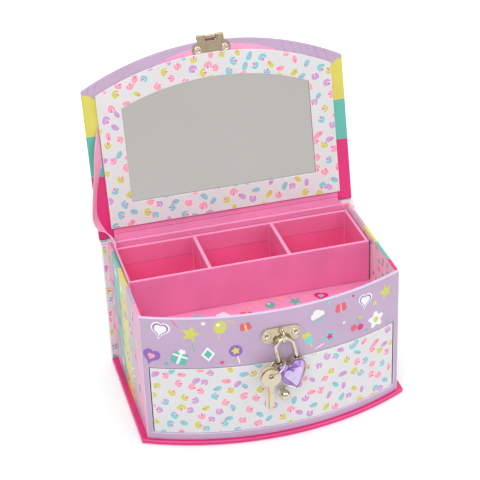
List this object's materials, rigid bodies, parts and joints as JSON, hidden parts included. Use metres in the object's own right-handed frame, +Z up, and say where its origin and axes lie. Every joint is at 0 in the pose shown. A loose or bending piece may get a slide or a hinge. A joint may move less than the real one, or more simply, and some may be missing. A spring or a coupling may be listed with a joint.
{
  "type": "vanity box with mirror",
  "caption": "Paper-covered vanity box with a hinged mirror lid, lift-out tray, bow-fronted drawer, ribbon stay, hasp and heart padlock with keys.",
  "frame": {"origin": "on the resting plane, midway along the base board's straight sides and midway across", "axes": "+Z up; the bowed front with its drawer faces -Y; +X is to the right seen from the front"},
  "size_m": [0.2043, 0.1867, 0.245],
  "materials": {
    "hot_pink_paper": "laminated, satin gloss",
    "print_paper": "white laminated paper with small spots",
    "lavender_paper": "laminated, satin gloss",
    "stripe_paper": "laminated paper in wide colour stripes",
    "rose_paper": "laminated, satin",
    "pale_pink_paper": "laminated, satin",
    "greyboard": "bare greyboard",
    "mirror_glass": "silvered",
    "nickel": "pale nickel plating, polished",
    "gem": "clear violet acrylic, faceted",
    "satin_ribbon": "satin"
  },
  "bodies": {
    "box": {"base_board": "hot_pink_paper", "spine_board": "print_paper", "hinge_paper": "print_paper", "hinge_lining": "pale_pink_paper", "back_wall": "rose_paper", "left_wall": "stripe_paper", "right_wall": "stripe_paper", "front_frame": "lavender_paper", "drawer_floor_board": "pale_pink_paper", "floor_spacers": "greyboard", "shelf": "pale_pink_paper", "latch_plate": "nickel", "latch_rivets": "nickel", "staple": "nickel", "lid_ribbon": "satin_ribbon"},
    "lid": {"lid_board": "lavender_paper", "mirror_frame": "print_paper", "mirror": "mirror_glass", "hasp_plate": "nickel", "hasp_rivets": "nickel", "hasp_pin": "nickel"},
    "hasp": {"hasp_leaf": "nickel"},
    "tray": {"tray_floor": "rose_paper", "tray_front": "rose_paper", "tray_back": "rose_paper", "tray_left": "rose_paper", "tray_right": "rose_paper", "tray_divider_left": "rose_paper", "tray_divider_right": "rose_paper"},
    "drawer": {"drawer_floor": "pale_pink_paper", "drawer_left": "pale_pink_paper", "drawer_right": "pale_pink_paper", "drawer_back": "pale_pink_paper", "drawer_front": "print_paper", "drawer_knob": "nickel", "knob_screw": "nickel", "knob_washer": "nickel"},
    "shackle": {"shackle": "nickel"},
    "lock": {"lock_case": "nickel", "lock_gem": "gem", "lock_plug": "nickel"},
    "ring": {"key_ring": "nickel"},
    "key_front": {"key_front": "nickel"},
    "key_rear": {"key_rear": "nickel"}
  },
  "joints": [
    {"name": "lid_hinge", "type": "hinge", "parent": "box", "child": "lid", "pos_m": [0, 0.05915, 0.1047], "axis": [-1, 0, 0], "range_deg": [-101.5, 0], "deforming": ["hinge_paper", "hinge_lining", "lid_ribbon"]},
    {"name": "hasp_swing", "type": "hinge", "parent": "lid", "child": "hasp", "pos_m": [0, 0.09248, 0.24274], "axis": [1, 0, 0], "range_deg": [0, 270]},
    {"name": "tray_lift", "type": "slide", "parent": "box", "child": "tray", "axis": [0, 0, 1], "range_m": [0, 0.05]},
    {"name": "drawer_slide", "type": "slide", "parent": "box", "child": "drawer", "axis": [0, -1, 0], "range_m": [0, 0.055]},
    {"name": "padlock_swing", "type": "hinge", "parent": "box", "child": "shackle", "pos_m": [0, -0.0801, 0.08507], "axis": [-1, 0, 0], "range_deg": [0, 150]},
    {"name": "lock_drop", "type": "slide", "parent": "shackle", "child": "lock", "axis": [0.1908, 0, -0.9816], "range_m": [0, 0.0045]},
    {"name": "ring_swing", "type": "hinge", "parent": "shackle", "child": "ring", "pos_m": [-0.004, -0.0783, 0.0705], "axis": [-1, 0, 0], "range_deg": [-2, 2]},
    {"name": "key_front_swing", "type": "hinge", "parent": "ring", "child": "key_front", "pos_m": [-0.01112, -0.08735, 0.0612], "axis": [0, -1, 0], "range_deg": [-6, 6]},
    {"name": "key_rear_swing", "type": "hinge", "parent": "ring", "child": "key_rear", "pos_m": [-0.01208, -0.08587, 0.063], "axis": [0, -1, 0], "range_deg": [-6, 6]}
  ],
  "couplings": [
    {"joint": "padlock_swing", "follows": "drawer_slide", "rad_per_m": 47.599}
  ]
}
